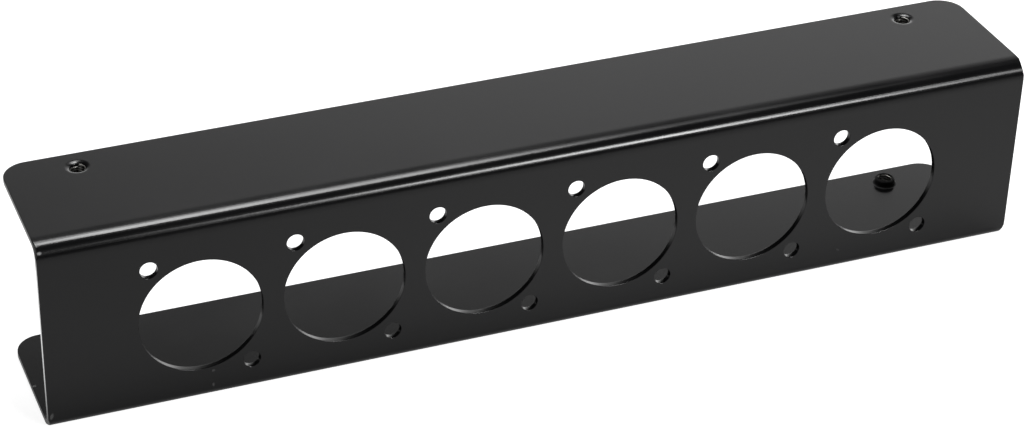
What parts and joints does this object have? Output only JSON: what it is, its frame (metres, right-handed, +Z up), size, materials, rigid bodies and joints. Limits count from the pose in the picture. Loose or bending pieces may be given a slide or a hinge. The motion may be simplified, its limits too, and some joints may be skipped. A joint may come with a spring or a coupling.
{
  "type": "d-type connector panel",
  "caption": "Black folded sheet-metal channel panel with a row of round connector cut-outs, each with a diagonal screw hole pair, and drawn tapped holes in both flanges.",
  "frame": {"origin": "middle of the lower flange's resting face, under the middle of the bounding box", "axes": "+Z up, -Y out of the front face with the connector cut-outs, +X along the panel to the right"},
  "size_m": [0.2, 0.0298, 0.0404],
  "materials": {
    "black_powder_coat": "satin black powder coat on folded steel sheet"
  },
  "bodies": {
    "root": {"connector_panel": "black_powder_coat"}
  },
  "joints": []
}
